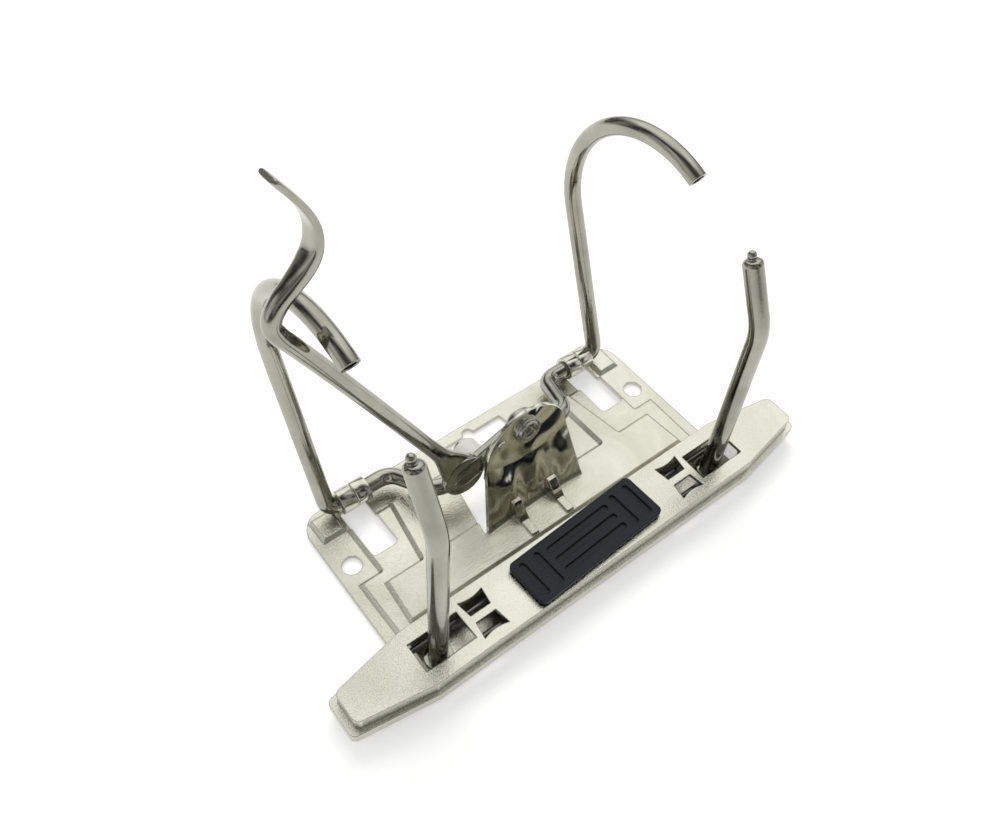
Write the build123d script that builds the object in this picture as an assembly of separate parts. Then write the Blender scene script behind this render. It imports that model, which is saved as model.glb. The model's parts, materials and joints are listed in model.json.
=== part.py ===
from build123d import *
import os
from math import cos, sin, radians, degrees, atan2, asin, hypot

# Lever arch mechanism, in millimetres. Z up, X along the line of the two posts, and +Y from the
# posts towards the hinge. The origin is midway between the two rivet holes, on the underside.

# ---- driving dimensions ----
prong_pitch = 80.0            # distance between the two posts, and between the two arches
rivet_outset = 2.4            # each rivet hole lies this far outside the line of its post
rivet_hole_r = 2.3
post_y = -29.4                # line of the posts, seen from the rivet holes
hinge_y = 13.0                # line of the arch hinge
hinge_z = 5.2

# pressed sheet plate
sheet = 0.9
plate_overhang = 7.0          # plate beyond each post, in X
plate_back_taper = 0.6        # the rear edge is this much shorter at each end
plate_back_y = 16.4
plate_front_y = -35.6
plate_corner_r = 5.5
stamp_step = 1.0              # height of each pressed step
stamp_slope = 40.0            # degrees that the pressed walls lean in
edge_strip = 3.0
seat_half_width = 3.9         # flat seat from each rivet hole's centre to its step
seat_front_y = -5.0
rear_band_y = 8.0
panel_front_y = -20.0
panel_turn_y = -8.3
pocket_width = 4.4            # width of the raised columns beside the central opening
boss_width = 6.2
boss_length = 7.0

# windows cut for the hinge barrels
window_margin = 2.5           # from the line of the post to the window
window_width = 6.7
window_front_y = -1.6
window_corner_r = 1.0
barrel_length = 7.4
barrel_seam = 0.35

# central upright, folded up out of the plate
root_y = -12.9
root_half_width = 14.4
crease_y = -7.4               # the head's face passes through this line
crease_z = 21.4
head_lean = 8.0               # degrees that the head and the lever lean back
head_half_width = 10.8
pivot_height = 4.2            # pivot above the crease line, along the head
head_end_drop = 3.0           # the head's two pointed ends lie this far below the pivot
head_rise = 5.4               # and its crown this far above it
fold_drop = 7.6               # lowest point of the curved fold, below the pivot
dish = 0.6                    # hollow of the upright's body, across its width
gusset_x = 5.2
gusset_width = 2.4
gusset_height = 4.6
gusset_reach = 2.4
bead_length = 6.2
bead_height = 0.7
stop_x = -6.8                 # small pressed stop beside the pivot
stop_r = 1.5
stop_height = 0.4
opening_back_y = 13.5
opening_back_half_width = 9.6
notch_r = 1.5

# arch wire
wire_r = 2.0
hinge_clearance = 0.06
arch_radius = 24.0
arch_centre_y = 4.66
arch_centre_z = 52.17
arch_tip_angle = 114.5
arch_swing = 14.6             # degrees from open to closed
tip_wall = 0.55
tip_bore_depth = 3.4
hinge_corner_r = 2.6
corner_r = 4.2
elbow_inset = 16.5            # from the line of the post to the elbow of the crank
crank_splay = 4.5
crank_reach = 13.6
crank_rise = 20.5             # degrees above level when the arches are open

# posts
post_r = 2.15
post_lean = 26.0
post_bend_r = 16.0
shoulder_r = 1.1
nub_clearance = 0.45
nub_reach = 0.9
collar_width = 1.05
collar_height = 1.2
spigot_r = 1.5

# lever
pivot_r = 1.5
pivot_clearance = 0.05
arm_thickness = 1.8
arm_gap = 0.25                # air between the upright's head and the arm
eye_r = 4.2
waist_r = 2.7
blade_x = -16.0               # centre of the blade's oval end, seen from the pivot
blade_u = -4.6
blade_r = 5.2
rod_foot_x = -20.2
rod_foot_u = 3.4
lever_overhang = 9.8          # the lever's bend lies this far beyond the line of the posts
rod_r = 1.7
finger_width = 5.0
finger_thickness = 1.4

# roller on the lever
roller_r = 3.1
roller_width = 4.8
roller_pin_r = 1.2
roller_clearance = 0.06
roller_arm = 12.5
roller_angle = 204.0
head_thickness = 0.7          # of the rivet and pin heads
rivet_head_r = 3.3

# compressor bar
bar_overhang = 24.2           # bar beyond each post
bar_end_step = 1.6
bar_straight = 5.0            # the straight sides end this far beyond each post
bar_half_width = 7.0
bar_end_half_width = 3.9
bar_bottom = 2.4
bar_step_z = 5.0
bar_top = 8.8
bar_sheet = 0.9
bar_flare = 0.8
bar_corner_r = 1.6
slot_inset = 7.1              # slot towards the middle, from the post's centre
slot_outset = 5.4
slot_clearance = 1.45
bridge = 1.8                  # sheet left between a slot and its panes
pane_length = 5.2
pane_near_y = 0.9
pane_far_y = 4.9
pane_dip = 0.6

# press pad and grip wire
pad_length = 36.2
pad_width = 11.8
pad_yaw = 3.0
pad_lift = 0.7                # air between the bar and the pad
pad_thickness = 1.0
pad_corner_r = 1.4
pad_stem_length = 26.0
pad_stem_width = 6.6
pad_clearance = 0.5
groove_depth = 0.5
groove_width = 1.5
grip_r = 0.7
grip_z = 5.6
grip_clearance = 0.3
grip_overhang = 8.5

# ---- values worked out from them ----
half_pitch = prong_pitch / 2
rivet_x = half_pitch + rivet_outset
low_top = sheet
mid_top = low_top + stamp_step
panel_top = mid_top + stamp_step
plate_half_width = half_pitch + plate_overhang
window_outer_x = half_pitch - window_margin
window_inner_x = window_outer_x - window_width
barrel_outer_x = half_pitch - hinge_corner_r - 0.2
barrel_x = barrel_outer_x - barrel_length / 2
elbow_x = half_pitch - elbow_inset
crank_x = elbow_x - crank_splay
tip_bore_r = wire_r - tip_wall
nub_r = tip_bore_r - nub_clearance
neck_r = nub_r * 0.85
bar_half_length = half_pitch + bar_overhang
bar_top_half_length = bar_half_length - bar_end_step
bar_straight_half_length = half_pitch + bar_straight
slot_inner_x = half_pitch - slot_inset
slot_outer_x = half_pitch + slot_outset
slot_half_width = post_r + slot_clearance
pane_outer_x = slot_inner_x - bridge
pane_inner_x = pane_outer_x - pane_length
pad_underside = bar_top + pad_lift
lean = radians(head_lean)
head_up = Vector(0, sin(lean), cos(lean))
head_front = Vector(0, -cos(lean), sin(lean))
pivot = Vector(0, crease_y, crease_z) + head_up * pivot_height
lever_plane = Plane(origin=pivot, x_dir=(1, 0, 0), z_dir=head_front)
arm_front = -(sheet + arm_gap)
arm_back = arm_front - arm_thickness
arm_middle = (arm_front + arm_back) / 2
roller_front = arm_back - arm_gap
roller_back = roller_front - roller_width
barrel_r = wire_r + hinge_clearance
barrel_outer_r = barrel_r + sheet


def swing(y, z, angle):
    """A point of the arch's plane, turned about the hinge line."""
    a = radians(angle)
    dy = y - hinge_y
    dz = z - hinge_z
    return hinge_y + dy * cos(a) - dz * sin(a), hinge_z + dy * sin(a) + dz * cos(a)


def arch_point(angle):
    a = radians(angle)
    return arch_centre_y + arch_radius * cos(a), arch_centre_z + arch_radius * sin(a)


# the straight leg leaves the hinge as a tangent of the arch's circle
centre_distance = hypot(arch_centre_y - hinge_y, arch_centre_z - hinge_z)
centre_bearing = degrees(atan2(arch_centre_z - hinge_z, arch_centre_y - hinge_y))
leg_bearing = centre_bearing - degrees(asin(arch_radius / centre_distance))
arch_start_angle = leg_bearing - 90

# the post's end faces the place that the arch's tip swings to
tip_y, tip_z = swing(*arch_point(arch_tip_angle), arch_swing)
post_dir = Vector(0, sin(radians(post_lean)), cos(radians(post_lean)))
post_end = Vector(0, tip_y, tip_z) - post_dir * nub_reach


def polygon(points, corner=0.0):
    sketch = Sketch() + make_face(Polyline(*points, close=True).edges())
    if corner > 0:
        sketch = fillet(sketch.vertices(), corner)
    return sketch


def slab(points, low, high, corner=0.0):
    return Pos(0, 0, low) * extrude(polygon(points, corner), amount=high - low)


def raised(points, low):
    """One pressed step: an area lifted by stamp_step, with walls that lean in."""
    outline = polygon(points)
    return Pos(0, 0, low) * extrude(outline, amount=stamp_step, taper=stamp_slope)


def both_sides(points):
    """An outline that is mirrored in X, from its right half listed front to back."""
    return points + [(-x, y) for x, y in reversed(points)]


def on_both_sides(shape):
    return [shape, mirror(shape, Plane.YZ)]


# ---- pressed plate with its upright and hinge barrels ----
def plate_outline():
    back = plate_half_width - plate_back_taper
    return both_sides([(plate_half_width, plate_front_y), (back, plate_back_y)])


def mid_outline():
    strip = plate_half_width - edge_strip
    seat = rivet_x - seat_half_width
    past_front = plate_front_y - 5
    return both_sides([(strip, past_front), (strip, seat_front_y), (seat, seat_front_y), (seat, rear_band_y)])


def panel_outline():
    column_x = window_inner_x - 1.0
    right = [
        (half_pitch + 0.4, panel_front_y),
        (half_pitch - 0.6, panel_turn_y),
        (column_x, panel_turn_y),
        (column_x - 2.6, rear_band_y),
        (column_x - 2.6 - pocket_width, rear_band_y),
        (column_x - 2.0 - pocket_width, panel_turn_y),
    ]
    return both_sides(right)


def boss_outline():
    inner = barrel_outer_x + 1.2
    front = plate_back_y - 1.4 - boss_length
    outer = inner + boss_width
    back = front + boss_length
    return [(inner, front), (outer, front), (outer, back), (inner, back)]


def stamped_sheet():
    outline = extrude(polygon(plate_outline()), amount=2 * panel_top)
    rear_corners = outline.edges().filter_by(Axis.Z).sort_by(Axis.Y)[-2:]
    outline = fillet(rear_corners, plate_corner_r)
    levels = [(mid_outline(), low_top), (panel_outline(), mid_top)]
    plate = slab(plate_outline(), 0, low_top)
    for points, low in levels:
        plate += raised(points, low)
    bosses = on_both_sides(raised(boss_outline(), low_top))
    plate += bosses
    for points, low in levels:
        plate -= raised(points, low - sheet)
    plate -= [Pos(0, 0, -sheet) * boss for boss in bosses]
    return plate & outline


def opening_outline():
    return both_sides([(root_half_width, root_y + sheet), (opening_back_half_width, opening_back_y)])


def window():
    depth = hinge_y - window_front_y
    shape = extrude(RectangleRounded(window_width, depth, window_corner_r), amount=2 * panel_top)
    return Pos((window_inner_x + window_outer_x) / 2, window_front_y + depth / 2, -1) * shape


def upright_front():
    """Outline from the front: a tapering body under a low arched crown."""
    end_z = pivot.Z - head_end_drop * cos(lean)
    crown_z = pivot.Z + head_rise * cos(lean)
    right = Line((root_half_width, 0), (head_half_width, end_z))
    crown = ThreePointArc((head_half_width, end_z), (0, crown_z), (-head_half_width, end_z))
    left = Line((-head_half_width, end_z), (-root_half_width, 0))
    base = Line((-root_half_width, 0), (root_half_width, 0))
    return Plane.XZ * make_face([right, crown, left, base])


def upright_body():
    """The curved sheet between the plate and the head, hollow across its width."""
    rise = Vector(0, crease_y - root_y, crease_z - panel_top).normalized()
    front = Vector(0, -rise.Z, rise.Y)
    hollow_r = (root_half_width ** 2 + dish ** 2) / (2 * dish)
    axis = Vector(0, root_y, panel_top) + front * (hollow_r - dish)
    length = 2 * crease_z
    place = Plane(origin=axis, x_dir=(1, 0, 0), z_dir=rise)
    shell = place * (Cylinder(hollow_r + sheet, length) - Cylinder(hollow_r, length))
    near = Pos(0, crease_y, 0) * Box(4 * root_half_width, 12 * sheet + root_half_width, 3 * crease_z)
    return shell & near


def head():
    """The flat lens-shaped face that the lever turns on."""
    low = -(fold_drop + 1.0)
    tall = head_rise + 1 - low
    return lever_plane * Pos(0, low + tall / 2, -sheet / 2) * Box(4 * head_half_width, tall, sheet)


def gusset(x):
    """A pressed gusset at the upright's foot, with a bead that runs out over the plate."""
    slope = (crease_y - root_y) / (crease_z - panel_top)
    low = panel_top - sheet / 2
    points = [
        (root_y - gusset_reach, low),
        (root_y - gusset_reach, panel_top + 0.4),
        (root_y + slope * gusset_height - 0.2, panel_top + gusset_height),
        (root_y + slope * gusset_height + 0.8, panel_top + gusset_height),
        (root_y + 0.8, low),
    ]
    web = Plane.YZ * extrude(polygon(points), amount=gusset_width / 2, both=True)
    bead_y = root_y - bead_length / 2
    bead = extrude(
        Pos(0, bead_y) * RectangleRounded(gusset_width, bead_length, 0.6), amount=bead_height, taper=20
    )
    return Pos(x, 0, 0) * (web + Pos(0, 0, panel_top) * bead)


def upright():
    outline = extrude(upright_front(), amount=60, both=True)
    behind_head = lever_plane * Pos(0, 0, -sheet - 10) * Box(4 * head_half_width, 2 * fold_drop, 20)
    above_plate = Pos(0, 0, panel_top - sheet + 50) * Box(200, 200, 100)
    body = upright_body() & above_plate
    body -= behind_head
    body -= lever_plane * Pos(0, 25 - head_end_drop + 0.6, 0) * Box(100, 50, 20)
    tongue = (body + head()) & outline
    stop = lever_plane * Pos(stop_x, -0.6, 0) * Cone(stop_r, stop_r * 0.7, stop_height)
    tongue += stop
    tongue += [gusset(gusset_x), gusset(-gusset_x)]
    return tongue


def barrel():
    ring = Cylinder(barrel_outer_r, barrel_length, rotation=(0, 90, 0))
    web = Pos(0, barrel_r + sheet / 2, -hinge_z / 2) * Box(barrel_length, sheet, hinge_z)
    seam = Cylinder(barrel_outer_r + 1, barrel_seam, rotation=(0, 90, 0))
    seam -= Cylinder(barrel_outer_r - barrel_seam, 1, rotation=(0, 90, 0))
    return Pos(barrel_x, hinge_y, hinge_z) * (ring + web - seam)


def base_plate():
    plate = stamped_sheet()
    plate -= slab(opening_outline(), -1, 2 * panel_top)
    plate -= Pos(0, opening_back_y, 0) * Cylinder(notch_r, 4)
    plate += upright()
    plate -= on_both_sides(window())
    plate += on_both_sides(barrel())
    bore = Pos(0, hinge_y, hinge_z) * Cylinder(barrel_r, 2 * plate_half_width, rotation=(0, 90, 0))
    plate -= bore
    plate -= on_both_sides(Pos(rivet_x, 0, 0) * Cylinder(rivet_hole_r, 4))
    plate -= on_both_sides(Pos(half_pitch, post_y, 0) * Cylinder(spigot_r, 12))
    plate -= lever_plane * Cylinder(pivot_r, 6)
    return plate


# ---- arch wire ----
def arch_path():
    start_y, start_z = arch_point(arch_start_angle)
    crank_y = hinge_y - crank_reach * cos(radians(crank_rise))
    crank_z = hinge_z + crank_reach * sin(radians(crank_rise))
    right = [
        (crank_x, crank_y, crank_z),
        (elbow_x, hinge_y, hinge_z),
        (half_pitch, hinge_y, hinge_z),
        (half_pitch, start_y, start_z),
    ]
    left = [(-x, y, z) for x, y, z in reversed(right)]
    radii = [hinge_corner_r, corner_r, corner_r, corner_r, corner_r, hinge_corner_r]
    edges = FilletPolyline(*(left + right), radius=radii).edges()
    middle_angle = (arch_start_angle + arch_tip_angle) / 2
    for side in (-1, 1):
        ends = [arch_point(a) for a in (arch_start_angle, middle_angle, arch_tip_angle)]
        edges += ThreePointArc(*[(side * half_pitch, y, z) for y, z in ends]).edges()
    return Wire(edges)


def arch_wire():
    path = arch_path()
    wire = sweep(Plane(origin=path @ 0, z_dir=path % 0) * Circle(wire_r), path=path)
    end_y, end_z = arch_point(arch_tip_angle)
    a = radians(arch_tip_angle)
    mouth = Plane(origin=(half_pitch, end_y, end_z), z_dir=(0, sin(a), -cos(a)))
    bore = mouth * Cylinder(tip_bore_r, 2 * tip_bore_depth)
    wire -= on_both_sides(bore)
    return wire


# ---- posts ----
def post(side):
    bend_z = post_end.Z - (post_end.Y - post_y) / post_dir.Y * post_dir.Z
    x = side * half_pitch
    corners = [(x, post_y, mid_top), (x, post_y, bend_z), (x, post_end.Y, post_end.Z)]
    path = FilletPolyline(*corners, radius=post_bend_r)
    body = sweep(Plane(origin=path @ 0, z_dir=path % 0) * Circle(post_r), path=path)
    top_face = body.faces().sort_by(Axis.Z)[-1]
    body = fillet(top_face.edges(), shoulder_r)
    end = Plane(origin=(x, post_end.Y, post_end.Z), z_dir=post_dir)
    body += end * Pos(0, 0, nub_reach / 2 - 0.5) * Cylinder(neck_r, nub_reach + 1)
    body += end * Pos(0, 0, nub_reach) * Sphere(nub_r)
    body += Pos(x, post_y, mid_top / 2 + 0.1) * Cylinder(spigot_r, mid_top - 0.2)
    return body


def post_collar(side):
    ring = Cylinder(post_r + collar_width, collar_height) - Cylinder(post_r, collar_height)
    return Pos(side * half_pitch, post_y, mid_top + collar_height / 2) * ring


# ---- lever, its rivet, roller and roller pin ----
def roller_place():
    a = radians(roller_angle)
    return Pos(roller_arm * cos(a), roller_arm * sin(a), 0)


def blade():
    """The flattened arm: the pivot's eye, a narrow waist, the oval end and the rod's socket."""
    oval_place = Pos(blade_x, blade_u)
    oval = oval_place * Circle(blade_r)
    socket = Pos(rod_foot_x, rod_foot_u - rod_r) * Circle(rod_r + 0.7)
    flat = Circle(eye_r) + oval
    flat += make_hull((Circle(waist_r) + oval_place * Circle(waist_r)).edges())
    flat += make_hull((oval + socket).edges())
    return Pos(0, 0, arm_back) * extrude(flat, amount=arm_thickness)


def rod_and_finger():
    bend_x = -(half_pitch + lever_overhang)
    foot = (rod_foot_x, rod_foot_u, arm_middle)
    bend = (bend_x, 57.2, arm_middle)
    neck = (bend_x + 6.6, 62.6, arm_middle)
    knuckle = (bend_x + 13.1, 68.8, arm_middle)
    tip = (bend_x + 5.9, 82.9, arm_middle)
    rod_path = FilletPolyline(foot, bend, neck, radius=3.6)
    rod = sweep(Plane(origin=rod_path @ 0, z_dir=rod_path % 0) * Circle(rod_r), path=rod_path)
    rod += [Pos(*foot) * Sphere(rod_r), Pos(*neck) * Sphere(rod_r)]
    strip_path = FilletPolyline(neck, knuckle, tip, radius=8.0)
    section = Plane(origin=strip_path @ 0, z_dir=strip_path % 0, x_dir=(0, 0, 1))
    strip = sweep(section * RectangleRounded(finger_width, finger_thickness, 0.6), path=strip_path)
    return rod + strip


def lever():
    body = blade() + rod_and_finger()
    body -= Cylinder(pivot_r + pivot_clearance, 20)
    body -= roller_place() * Cylinder(roller_pin_r, 20)
    return lever_plane * body


def lever_rivet():
    shank_low = arm_back - head_thickness / 2
    shank = Pos(0, 0, shank_low / 2) * Cylinder(pivot_r, -shank_low)
    flange = Pos(0, 0, head_thickness / 2) * Cylinder(rivet_head_r, head_thickness)
    rim = Pos(0, 0, head_thickness) * Cylinder(rivet_head_r * 0.76, head_thickness)
    tail = Pos(0, 0, shank_low - head_thickness / 2) * Cylinder(rivet_head_r * 0.79, head_thickness)
    hollow = Pos(0, 0, head_thickness + 0.3) * Cylinder(pivot_r, 1.6)
    return lever_plane * (shank + flange + rim + tail - hollow)


def roller():
    body = Cylinder(roller_r, roller_width) - Cylinder(roller_pin_r + roller_clearance, roller_width)
    return lever_plane * roller_place() * Pos(0, 0, (roller_front + roller_back) / 2) * body


def roller_pin():
    tail = roller_back - arm_gap
    shank = Pos(0, 0, (arm_front + tail) / 2) * Cylinder(roller_pin_r, arm_front - tail)
    pin_head = Pos(0, 0, tail - head_thickness / 2) * Cylinder(roller_pin_r + 1.1, head_thickness)
    return lever_plane * roller_place() * (shank + pin_head)


# ---- compressor bar ----
def bar_outline(grow, end_x):
    right = [
        (bar_straight_half_length, -(bar_half_width + grow)),
        (end_x, -(bar_end_half_width + grow)),
        (end_x, bar_end_half_width + grow),
        (bar_straight_half_length, bar_half_width + grow),
    ]
    return both_sides(right)


def bar_shell(inset):
    """The bar's outside, or with an inset its hollow: a flared skirt under a narrower crown."""
    low = bar_bottom if inset == 0 else bar_bottom - 1
    skirt = bar_outline(bar_flare - inset, bar_half_length - inset)
    crown = bar_outline(-inset, bar_top_half_length - inset)
    shell = slab(skirt, low, bar_step_z - inset, bar_corner_r)
    shell += slab(crown, low, bar_top - inset, bar_corner_r)
    return shell


def pane():
    """A small window beside a post slot, with a dipped side and flared corners."""
    far_y = pane_far_y
    middle = ((pane_inner_x + pane_outer_x) / 2, far_y - pane_dip)
    left = (pane_inner_x - pane_dip, far_y)
    right = (pane_outer_x + pane_dip, far_y)
    edges = [
        Line((pane_inner_x, pane_near_y), left),
        ThreePointArc(left, middle, right),
        Line(right, (pane_outer_x, pane_near_y)),
        Line((pane_outer_x, pane_near_y), (pane_inner_x, pane_near_y)),
    ]
    return extrude(make_face(edges), amount=20)


def compressor_bar():
    bar = bar_shell(0) - bar_shell(bar_sheet)
    slot_length = slot_outer_x - slot_inner_x
    slot = Pos((slot_inner_x + slot_outer_x) / 2, 0, bar_top) * Box(slot_length, 2 * slot_half_width, 4)
    bar -= on_both_sides(slot)
    bar -= on_both_sides(pane())
    bar -= on_both_sides(mirror(pane(), Plane.XZ))
    stem_hole = Box(pad_stem_length + 2 * pad_clearance, pad_stem_width + 2 * pad_clearance, 4)
    bar -= Pos(0, 0, bar_top) * Rot(0, 0, pad_yaw) * stem_hole
    return Pos(0, post_y, 0) * bar


# ---- press pad and the wire loop that grips the posts ----
def press_pad():
    plan = RectangleRounded(pad_length, pad_width, pad_corner_r)
    pad = Pos(0, 0, pad_underside) * extrude(plan, amount=pad_thickness)
    stem_low = grip_z + grip_r
    stem = Box(pad_stem_length, pad_stem_width, pad_underside - stem_low)
    pad += Pos(0, 0, (stem_low + pad_underside) / 2) * stem
    cut_z = pad_underside + pad_thickness
    long_groove = SlotOverall(pad_length / 2, groove_width)
    for row in (-1, 0, 1):
        pad -= Pos(0, row * pad_width / 4, cut_z) * extrude(long_groove, amount=groove_depth, both=True)
    cross_groove = SlotOverall(pad_width * 0.76, groove_width, rotation=90)
    for x in (0.315 * pad_length, 0.43 * pad_length):
        for side in (-1, 1):
            pad -= Pos(side * x, 0, cut_z) * extrude(cross_groove, amount=groove_depth, both=True)
    return Pos(0, post_y, 0) * Rot(0, 0, pad_yaw) * pad


def grip_wire():
    half_width = post_r + grip_clearance + grip_r
    outline = SlotOverall(2 * (half_pitch + grip_overhang), 2 * half_width).wire()
    path = Pos(0, post_y, grip_z) * outline
    return sweep(Plane(origin=path @ 0, z_dir=path % 0) * Circle(grip_r), path=path)


os.makedirs("parts", exist_ok=True)
nodes = {
    "base_plate": base_plate(),
    "arch_wire": arch_wire(),
    "post_left": post(-1),
    "post_right": post(1),
    "post_collar_left": post_collar(-1),
    "post_collar_right": post_collar(1),
    "lever": lever(),
    "lever_rivet": lever_rivet(),
    "roller": roller(),
    "roller_pin": roller_pin(),
    "compressor_bar": compressor_bar(),
    "press_pad": press_pad(),
    "grip_wire": grip_wire(),
}
for name, shape in nodes.items():
    export_step(shape, f"parts/{name}.step")
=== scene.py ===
import json
import math

import bmesh
import bpy
from mathutils import Matrix, Vector

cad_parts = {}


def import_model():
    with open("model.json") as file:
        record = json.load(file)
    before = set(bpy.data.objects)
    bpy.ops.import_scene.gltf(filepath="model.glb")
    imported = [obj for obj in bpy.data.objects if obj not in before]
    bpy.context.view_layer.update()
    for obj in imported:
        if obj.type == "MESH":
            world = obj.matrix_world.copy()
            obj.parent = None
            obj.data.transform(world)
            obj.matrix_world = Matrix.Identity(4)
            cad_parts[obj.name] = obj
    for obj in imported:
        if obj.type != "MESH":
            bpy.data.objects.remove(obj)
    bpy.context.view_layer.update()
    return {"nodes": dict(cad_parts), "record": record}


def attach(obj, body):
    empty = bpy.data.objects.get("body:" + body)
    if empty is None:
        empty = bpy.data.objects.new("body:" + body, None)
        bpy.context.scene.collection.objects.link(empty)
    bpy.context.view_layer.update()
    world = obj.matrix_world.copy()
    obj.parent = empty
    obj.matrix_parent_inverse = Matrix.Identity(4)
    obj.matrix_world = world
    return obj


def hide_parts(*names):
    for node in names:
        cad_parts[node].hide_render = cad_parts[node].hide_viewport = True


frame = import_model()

NODES = frame["nodes"]

# ---------------------------------------------------------------- node helpers


class Nodes:
    """Short calls that build one node tree."""

    def __init__(self, tree, coordinates):
        self.tree = tree
        self.place = tree.nodes.new("ShaderNodeTexCoord").outputs[coordinates]

    def node(self, kind, **settings):
        made = self.tree.nodes.new(kind)
        for key, value in settings.items():
            setattr(made, key, value)
        return made

    def link(self, source, target):
        self.tree.links.new(source, target)

    def feed(self, value, socket):
        if isinstance(value, (int, float, tuple)):
            socket.default_value = value
        else:
            self.link(value, socket)

    def stretched(self, scale):
        mapping = self.node("ShaderNodeMapping")
        self.link(self.place, mapping.inputs["Vector"])
        mapping.inputs["Scale"].default_value = scale
        return mapping.outputs["Vector"]

    def noise(self, scale, detail=2.0, rough=0.5, warp=0.0, place=None):
        made = self.node("ShaderNodeTexNoise")
        self.link(place or self.place, made.inputs["Vector"])
        made.inputs["Scale"].default_value = scale
        made.inputs["Detail"].default_value = detail
        made.inputs["Roughness"].default_value = rough
        made.inputs["Distortion"].default_value = warp
        return made.outputs["Fac"]

    def spots(self, scale):
        made = self.node("ShaderNodeTexVoronoi")
        self.link(self.place, made.inputs["Vector"])
        made.inputs["Scale"].default_value = scale
        made.inputs["Randomness"].default_value = 1.0
        return made.outputs["Distance"]

    def span(self, value, low, high, to_low, to_high, smooth=False):
        made = self.node("ShaderNodeMapRange")
        if smooth:
            made.interpolation_type = "SMOOTHSTEP"
        self.link(value, made.inputs["Value"])
        limits = {"From Min": low, "From Max": high, "To Min": to_low, "To Max": to_high}
        for key, number in limits.items():
            made.inputs[key].default_value = number
        return made.outputs["Result"]

    def maths(self, kind, a, b):
        made = self.node("ShaderNodeMath", operation=kind)
        self.feed(a, made.inputs[0])
        self.feed(b, made.inputs[1])
        return made.outputs["Value"]


class Shader(Nodes):
    """One material's node tree. Its coordinates are the row frame, in metres."""

    def __init__(self, name):
        self.material = bpy.data.materials.new(name)
        self.material.use_nodes = True
        super().__init__(self.material.node_tree, "Object")
        self.bsdf = self.tree.nodes["Principled BSDF"]

    def blend(self, share, a, b):
        made = self.node("ShaderNodeMix", data_type="RGBA")
        self.feed(share, made.inputs["Factor"])
        self.feed(a, made.inputs["A"])
        self.feed(b, made.inputs["B"])
        return made.outputs["Result"]

    def bump(self, height, distance, normal=None):
        made = self.node("ShaderNodeBump")
        made.inputs["Strength"].default_value = 1.0
        made.inputs["Distance"].default_value = distance
        self.link(height, made.inputs["Height"])
        if normal is not None:
            self.link(normal, made.inputs["Normal"])
        return made.outputs["Normal"]

    def soft_edges(self, radius):
        made = self.node("ShaderNodeBevel")
        made.samples = 6
        made.inputs["Radius"].default_value = radius
        return made.outputs["Normal"]

    def edges(self, radius):
        """1 along sharp edges and 0 on flat ground."""
        rounded = self.soft_edges(radius)
        geometry = self.node("ShaderNodeNewGeometry")
        dot = self.node("ShaderNodeVectorMath", operation="DOT_PRODUCT")
        self.link(rounded, dot.inputs[0])
        self.link(geometry.outputs["Normal"], dot.inputs[1])
        return self.span(dot.outputs["Value"], 0.995, 0.86, 0.0, 1.0, smooth=True)


def rgb(r, g, b):
    return (r, g, b, 1.0)


# ---------------------------------------------------------------- materials

# colour of the small painted dark speckles on the plating, a painted reflection of dark details
DARK_REFLECTION_SPECKLE_TONE = rgb(0.24, 0.23, 0.2)
WORN_PLATE_TONE = rgb(0.86, 0.85, 0.79)
WORN_WIRE_TONE = rgb(0.85, 0.84, 0.78)
# the upright's drawn metal begins between these two heights, in metres
DRAWN_LOW = 0.0034
DRAWN_HIGH = 0.0048


def plated_sheet(name, colour, shade, roughness, peel, peel_depth, waves, edge, polished=False):
    """Nickel plate on pressed sheet: orange peel, small painted dark speckles that stand in for reflections of dark
    details, rolled waves, and brighter worn edges.
    """
    s = Shader(name)
    fine = s.noise(peel, 3.0, 0.6)
    grit = s.noise(peel * 3.3, 2.0, 0.5)
    broad = s.noise(140.0, 2.0, 0.5, 0.4)
    stain = s.noise(55.0, 3.0, 0.6, 0.8)
    # small dark spots painted into the colour: painted reflections of dark details, not real pits
    painted_reflection_speckles = s.span(s.spots(820.0), 0.02, 0.16, 1.0, 0.0, smooth=True)
    worn = s.edges(edge)
    tone = s.blend(s.span(stain, 0.35, 0.7, 0.0, 1.0), rgb(*colour), rgb(*shade))
    tone = s.blend(s.maths("MULTIPLY", painted_reflection_speckles, 0.18), tone, DARK_REFLECTION_SPECKLE_TONE)
    tone = s.blend(s.maths("MULTIPLY", worn, 0.5), tone, WORN_PLATE_TONE)
    s.link(tone, s.bsdf.inputs["Base Color"])
    s.bsdf.inputs["Metallic"].default_value = 1.0
    rough = s.span(fine, 0.3, 0.7, roughness * 0.8, roughness * 1.25)
    rough = s.maths("SUBTRACT", rough, s.maths("MULTIPLY", worn, roughness * 0.4))
    normal = s.soft_edges(edge)
    if polished:
        # the drawn metal of the upright is brighter and wavier than the flat of the plate
        height = s.node("ShaderNodeSeparateXYZ")
        s.link(s.place, height.inputs[0])
        drawn = s.span(height.outputs["Z"], DRAWN_LOW, DRAWN_HIGH, 0.0, 1.0, smooth=True)
        rough = s.maths("MULTIPLY", rough, s.span(drawn, 0.0, 1.0, 1.0, 0.34))
        swell = s.noise(78.0, 1.0, 0.4, 0.6, s.stretched((1.0, 1.0, 0.7)))
        normal = s.bump(s.maths("MULTIPLY", swell, drawn), 0.0042, normal)
        calm = s.span(drawn, 0.0, 1.0, 1.0, 0.12)
        broad = s.maths("MULTIPLY", broad, calm)
        fine = s.maths("MULTIPLY", fine, calm)
        grit = s.maths("MULTIPLY", grit, calm)
    s.link(rough, s.bsdf.inputs["Roughness"])
    normal = s.bump(broad, waves, normal)
    normal = s.bump(fine, peel_depth, normal)
    normal = s.bump(grit, peel_depth * 0.28, normal)
    s.link(normal, s.bsdf.inputs["Normal"])
    return s.material


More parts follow.
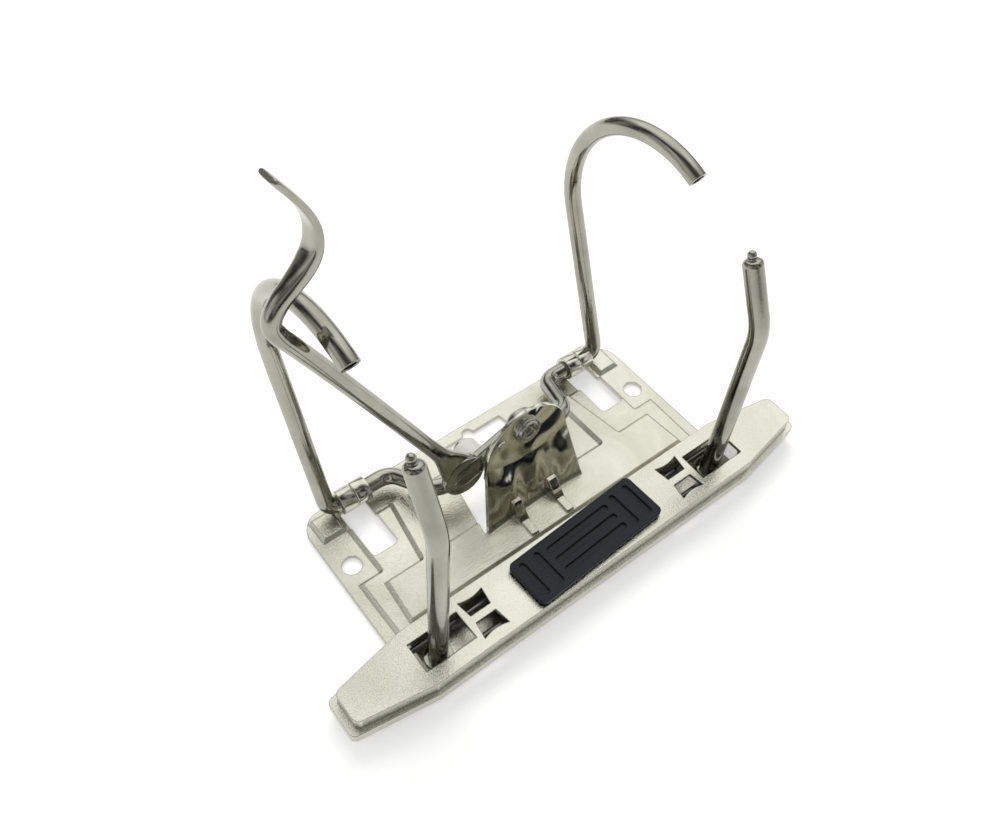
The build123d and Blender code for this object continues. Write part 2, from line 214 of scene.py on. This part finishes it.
def bright_wire(name, colour, shade, roughness, edge):
    """Bright nickel on drawn wire: faint lengthwise draw lines, small scuffs and a little waviness."""
    s = Shader(name)
    cloud = s.noise(90.0, 3.0, 0.55, 0.6)
    scuff = s.noise(420.0, 4.0, 0.7, 1.2)
    ripple = s.noise(60.0, 1.0, 0.4)
    worn = s.edges(edge)
    tone = s.blend(s.span(cloud, 0.35, 0.7, 0.0, 1.0), rgb(*colour), rgb(*shade))
    tone = s.blend(s.maths("MULTIPLY", worn, 0.4), tone, WORN_WIRE_TONE)
    s.link(tone, s.bsdf.inputs["Base Color"])
    s.bsdf.inputs["Metallic"].default_value = 1.0
    s.link(s.span(scuff, 0.42, 0.72, roughness, roughness * 2.6), s.bsdf.inputs["Roughness"])
    normal = s.soft_edges(edge)
    normal = s.bump(ripple, 0.00012, normal)
    normal = s.bump(scuff, 0.000012, normal)
    s.link(normal, s.bsdf.inputs["Normal"])
    return s.material


def moulded(name, colour, shade, roughness, grain, depth, edge):
    """Moulded plastic: a fine spark-eroded grain, faint mottling and lightly polished edges."""
    s = Shader(name)
    fine = s.noise(grain, 3.0, 0.6)
    cloud = s.noise(70.0, 3.0, 0.6, 0.5)
    worn = s.edges(edge)
    tone = s.blend(s.span(cloud, 0.3, 0.7, 0.0, 1.0), rgb(*colour), rgb(*shade))
    s.link(tone, s.bsdf.inputs["Base Color"])
    rough = s.span(fine, 0.3, 0.7, roughness * 0.85, roughness * 1.2)
    rough = s.maths("SUBTRACT", rough, s.maths("MULTIPLY", worn, roughness * 0.3))
    s.link(rough, s.bsdf.inputs["Roughness"])
    normal = s.bump(fine, depth, s.soft_edges(edge))
    s.link(normal, s.bsdf.inputs["Normal"])
    s.bsdf.inputs["Specular IOR Level"].default_value = 0.3
    return s.material


MATERIALS = {
    "plate_sheet": plated_sheet(
        "plate_nickel", (0.70, 0.69, 0.60), (0.59, 0.58, 0.49), roughness=0.22,
        peel=2300.0, peel_depth=0.00008, waves=0.00012, edge=0.0004, polished=True,
    ),
    "bar_sheet": plated_sheet(
        "bar_nickel", (0.72, 0.71, 0.62), (0.63, 0.62, 0.53), roughness=0.24,
        peel=2600.0, peel_depth=0.00006, waves=0.0001, edge=0.00035,
    ),
    "bright_wire": bright_wire(
        "wire_nickel", (0.44, 0.435, 0.375), (0.33, 0.325, 0.275), roughness=0.09, edge=0.0003,
    ),
    "rivet": bright_wire(
        "rivet_nickel", (0.66, 0.65, 0.58), (0.5, 0.49, 0.43), roughness=0.16, edge=0.0003,
    ),
    "dark_wire": bright_wire(
        "spring_wire", (0.24, 0.235, 0.225), (0.13, 0.13, 0.125), roughness=0.22, edge=0.0002,
    ),
    "white_nylon": moulded(
        "nylon", (0.86, 0.86, 0.82), (0.8, 0.8, 0.75), roughness=0.42,
        grain=1800.0, depth=0.00002, edge=0.0003,
    ),
    "pad_black": moulded(
        "pad_black", (0.004, 0.007, 0.011), (0.007, 0.010, 0.015), roughness=0.38,
        grain=2600.0, depth=0.00003, edge=0.0003,
    ),
}
SLOT_OF = {entry["node"]: entry["material_slot"] for entry in frame["record"]["subparts"]}


def paint(obj, slot):
    obj.data.materials.clear()
    obj.data.materials.append(MATERIALS[slot])


def round_edges(obj, width):
    """Rounds the sharp edges of a CAD node, as plating and pressing do."""
    weld = obj.modifiers.new("weld", "WELD")
    weld.merge_threshold = 1e-6
    bevel = obj.modifiers.new("edges", "BEVEL")
    bevel.width = width
    bevel.segments = 3
    bevel.limit_method = "ANGLE"
    bevel.angle_limit = math.radians(28.0)
    bevel.use_clamp_overlap = True


EDGE_WIDTHS = {"base_plate": 0.00042, "compressor_bar": 0.0004, "press_pad": 0.0003}
for name, obj in NODES.items():
    paint(obj, SLOT_OF[name])
    if name in EDGE_WIDTHS:
        round_edges(obj, EDGE_WIDTHS[name])

# ---------------------------------------------------------------- the lever, as one drawn and flattened piece

MM = 0.001
LEAN = math.radians(8.0)
LEVER_UP = Vector((0.0, math.sin(LEAN), math.cos(LEAN)))
LEVER_FRONT = Vector((0.0, -math.cos(LEAN), math.sin(LEAN)))
CREASE = Vector((0.0, -7.4, 21.4))
EYE_R = 4.2
PIVOT = CREASE + LEVER_UP * EYE_R
# the two faces of the flattened arm, behind the pivot's plane
ARM_FRONT = -1.15
ARM_BACK = -2.95
ARM_MIDDLE = (ARM_FRONT + ARM_BACK) / 2


def lever_point(x, u, n):
    """A point of the lever's own plane, in millimetres from the pivot, as a place in the row frame."""
    return (PIVOT + Vector((x, 0.0, 0.0)) + LEVER_UP * u + LEVER_FRONT * n) * MM


def smooth_between(rows, steps):
    """Catmull-Rom samples through rows of numbers."""
    rows = [rows[0]] + rows + [rows[-1]]
    out = []
    for a, b, c, d in zip(rows, rows[1:], rows[2:], rows[3:]):
        for i in range(steps):
            t = i / steps
            out.append([
                0.5 * (2 * q + (r - p) * t + (2 * p - 5 * q + 4 * r - w) * t * t + (3 * q - p - 3 * r + w) * t ** 3)
                for p, q, r, w in zip(a, b, c, d)
            ])
    out.append(list(rows[-1]))
    return out


def add_rings(mesh, rings):
    """Skins a row of closed rings of points and closes both ends."""
    loops = [[mesh.verts.new(p) for p in ring] for ring in rings]
    count = len(loops[0])
    for low, high in zip(loops, loops[1:]):
        for i in range(count):
            j = (i + 1) % count
            mesh.faces.new((low[i], low[j], high[j], high[i]))
    mesh.faces.new(list(reversed(loops[0])))
    mesh.faces.new(loops[-1])


# x and u of the centreline, then the half size in the lever's plane and the half size across it
STEM = [
    [-16.4, -4.0, 4.4, 0.86], [-18.4, 0.2, 3.4, 0.95], [-20.5, 4.3, 2.1, 1.35], [-22.6, 8.2, 1.72, 1.68],
    [-28.4, 19.0, 1.7, 1.7], [-34.4, 30.2, 1.7, 1.7], [-40.6, 41.6, 1.7, 1.7], [-45.4, 50.2, 1.7, 1.7],
    [-48.0, 54.8, 1.72, 1.72], [-48.5, 57.8, 1.75, 1.75], [-46.6, 60.6, 1.72, 1.8], [-43.6, 62.9, 1.6, 1.95],
    [-40.9, 65.2, 1.35, 2.2], [-38.9, 68.0, 1.05, 2.4], [-38.3, 71.6, 0.82, 2.5], [-39.2, 75.2, 0.74, 2.5],
    [-41.2, 79.0, 0.7, 2.5], [-43.0, 81.8, 0.68, 2.45], [-43.5, 82.6, 0.5, 2.2],
]
STEM_STEPS = 7
SECTION_POINTS = 40
SQUARENESS = 0.45


def stem_rings():
    samples = smooth_between(STEM, STEM_STEPS)
    rings = []
    for i, (x, u, wide, thick) in enumerate(samples):
        before = samples[max(i - 1, 0)]
        after = samples[min(i + 1, len(samples) - 1)]
        along = Vector((after[0] - before[0], after[1] - before[1])).normalized()
        ring = []
        for k in range(SECTION_POINTS):
            a = 2 * math.pi * k / SECTION_POINTS
            power = 1.0 - SQUARENESS * min(1.0, abs(wide - thick))
            side = math.copysign(abs(math.cos(a)) ** power, math.cos(a)) * wide
            out = math.copysign(abs(math.sin(a)) ** power, math.sin(a)) * thick
            ring.append(lever_point(x - along.y * side, u + along.x * side, ARM_MIDDLE + out))
        rings.append(ring)
    return rings


# the flat blade: an eye round the rivet, a waist and an oval end, as circles of x, u and radius
WAIST_R = 2.7
OVAL_R = 5.2
OVAL_X = -16.0
OVAL_U = -4.6
EYE = [(0.0, 0.0, EYE_R)]
WAIST = [(0.0, 0.0, WAIST_R), (OVAL_X, OVAL_U, WAIST_R)]
OVAL = [(OVAL_X, OVAL_U, OVAL_R)]
HALF_TURN_STEPS = 48
OUTLINE_POINTS = 120
# how far the outline shrinks at each level through the blade, which rounds its edges
BLADE_LEVELS = (
    (0.45, ARM_BACK), (0.12, ARM_BACK + 0.12), (0.0, ARM_BACK + 0.4),
    (0.0, ARM_FRONT - 0.4), (0.12, ARM_FRONT - 0.12), (0.45, ARM_FRONT),
)


def hull_outline(circles, shrink):
    """Convex outline round some circles, each given as x, u and radius."""
    corners = []
    for x, u, r in circles:
        corners += [
            (x + (r - shrink) * math.cos(a * math.pi / HALF_TURN_STEPS),
             u + (r - shrink) * math.sin(a * math.pi / HALF_TURN_STEPS))
            for a in range(2 * HALF_TURN_STEPS)
        ]
    corners.sort()

    def half(points):
        chain = []
        for p in points:
            while len(chain) > 1:
                (ax, ay), (bx, by) = chain[-2], chain[-1]
                if (bx - ax) * (p[1] - ay) - (by - ay) * (p[0] - ax) > 1e-9:
                    break
                chain.pop()
            chain.append(p)
        return chain[:-1]

    return half(corners) + half(corners[::-1])


def resample(points, count):
    """The same closed outline as evenly spaced points."""
    closed = points + points[:1]
    lengths = [math.dist(a, b) for a, b in zip(closed, closed[1:])]
    total = sum(lengths)
    out, i, walked = [], 0, 0.0
    for k in range(count):
        goal = total * k / count
        while walked + lengths[i] < goal:
            walked += lengths[i]
            i += 1
        t = (goal - walked) / lengths[i]
        (ax, ay), (bx, by) = closed[i], closed[i + 1]
        out.append((ax + (bx - ax) * t, ay + (by - ay) * t))
    return out


def blade_rings(circles):
    return [
        [lever_point(x, u, n) for x, u in resample(hull_outline(circles, shrink), OUTLINE_POINTS)]
        for shrink, n in BLADE_LEVELS
    ]


def build_lever():
    mesh = bmesh.new()
    add_rings(mesh, stem_rings())
    for circles in (EYE, WAIST, OVAL):
        add_rings(mesh, blade_rings(circles))
    bmesh.ops.recalc_face_normals(mesh, faces=mesh.faces)
    data = bpy.data.meshes.new("lever_drawn")
    mesh.to_mesh(data)
    mesh.free()
    for face in data.polygons:
        face.use_smooth = len(face.vertices) == 4
    obj = bpy.data.objects.new("lever_drawn", data)
    bpy.context.scene.collection.objects.link(obj)
    paint(obj, "bright_wire")
    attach(obj, "lever")
    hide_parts("lever")


build_lever()

# ---------------------------------------------------------------- stage, light and camera


def floor():
    bpy.ops.mesh.primitive_plane_add(size=6.0, location=(0.0, 0.0, -0.0002))
    plane = bpy.context.object
    plane.name = "floor"
    glow = 0.42
    s = Shader("floor_white")
    s.bsdf.inputs["Base Color"].default_value = rgb(0.86, 0.86, 0.85)
    s.bsdf.inputs["Roughness"].default_value = 0.7
    s.bsdf.inputs["Specular IOR Level"].default_value = 0.1
    path = s.node("ShaderNodeLightPath")
    mirrored = s.maths("MULTIPLY", path.outputs["Is Glossy Ray"], 0.8)
    seen = s.maths("MAXIMUM", path.outputs["Is Camera Ray"], mirrored)
    seen = s.maths("MAXIMUM", seen, path.outputs["Is Transmission Ray"])
    s.bsdf.inputs["Emission Color"].default_value = rgb(1.0, 1.0, 1.0)
    s.link(s.maths("MULTIPLY", seen, glow), s.bsdf.inputs["Emission Strength"])
    plane.data.materials.append(s.material)


# what the metal reflects: the direction, the cosines at its rim and core, and the strength
ROOM_LIGHTS = (
    ((0.42, 0.5, 0.76), 0.62, 0.94, 1.16),  # a big soft ceiling light behind
    ((-0.95, 0.25, 0.3), 0.84, 0.94, 0.45),  # a smaller one on the left
    ((0.9, -0.5, 0.35), 0.90, 0.96, 0.45),  # and one on the right
)
WORLD_LIGHT = 0.45


def world():
    """White to the camera, a plain level for the surfaces, and a dim room in reflections."""
    made = bpy.data.worlds.new("studio")
    bpy.context.scene.world = made
    made.use_nodes = True
    made.node_tree.nodes.clear()
    w = Nodes(made.node_tree, "Generated")
    out = w.node("ShaderNodeOutputWorld")
    back = w.node("ShaderNodeBackground")
    w.link(back.outputs[0], out.inputs[0])
    room = w.span(w.noise(2.6, 1.5), 0.42, 0.60, 0.04, 0.34, smooth=True)
    for toward, rim, core, strength in ROOM_LIGHTS:
        dot = w.node("ShaderNodeVectorMath", operation="DOT_PRODUCT")
        w.link(w.place, dot.inputs[0])
        dot.inputs[1].default_value = Vector(toward).normalized()
        lobe = w.span(dot.outputs["Value"], rim, core, 0.0, strength, smooth=True)
        room = w.maths("ADD", room, lobe)
    path = w.node("ShaderNodeLightPath")
    seen = w.maths("MULTIPLY", path.outputs["Is Camera Ray"], 1.0 - WORLD_LIGHT)
    plain = w.maths("ADD", seen, WORLD_LIGHT)
    glossy = path.outputs["Is Glossy Ray"]
    mirrored = w.maths("MULTIPLY", glossy, room)
    direct = w.maths("MULTIPLY", w.maths("SUBTRACT", 1.0, glossy), plain)
    w.link(w.maths("ADD", mirrored, direct), back.inputs["Strength"])
    back.inputs["Color"].default_value = rgb(1.0, 1.0, 0.985)


def area(name, place, target, size, power, colour):
    lamp = bpy.data.lights.new(name, "AREA")
    lamp.shape = "RECTANGLE"
    lamp.size, lamp.size_y = size
    lamp.energy = power
    lamp.color = colour
    obj = bpy.data.objects.new(name, lamp)
    bpy.context.scene.collection.objects.link(obj)
    obj.visible_glossy = False
    obj.location = place
    obj.rotation_euler = (Vector(target) - Vector(place)).to_track_quat("-Z", "Y").to_euler()


def camera():
    data = bpy.data.cameras.new("camera")
    data.lens = 36.65
    data.sensor_width = 36.0
    data.clip_start = 0.005
    data.clip_end = 20.0
    obj = bpy.data.objects.new("camera", data)
    bpy.context.scene.collection.objects.link(obj)
    right = Vector((0.78664927, -0.61567442, 0.04612944))
    down = Vector((-0.47165396, -0.64748312, -0.59858846))
    ahead = Vector((0.39840364, 0.44912205, -0.79972741))
    turn = Matrix((right, -down, -ahead)).transposed().to_4x4()
    obj.matrix_world = Matrix.Translation((-0.09072, -0.09997, 0.20353)) @ turn
    bpy.context.scene.camera = obj


floor()
world()
area("key", (0.25, 0.45, 0.75), (0.0, 0.0, 0.02), (0.55, 0.4), 3.6, (1.0, 0.99, 0.97))
area("fill", (-0.55, 0.1, 0.55), (0.0, 0.0, 0.02), (0.5, 0.5), 0.7, (0.97, 0.98, 1.0))
camera()
bpy.context.scene.view_settings.view_transform = "Standard"
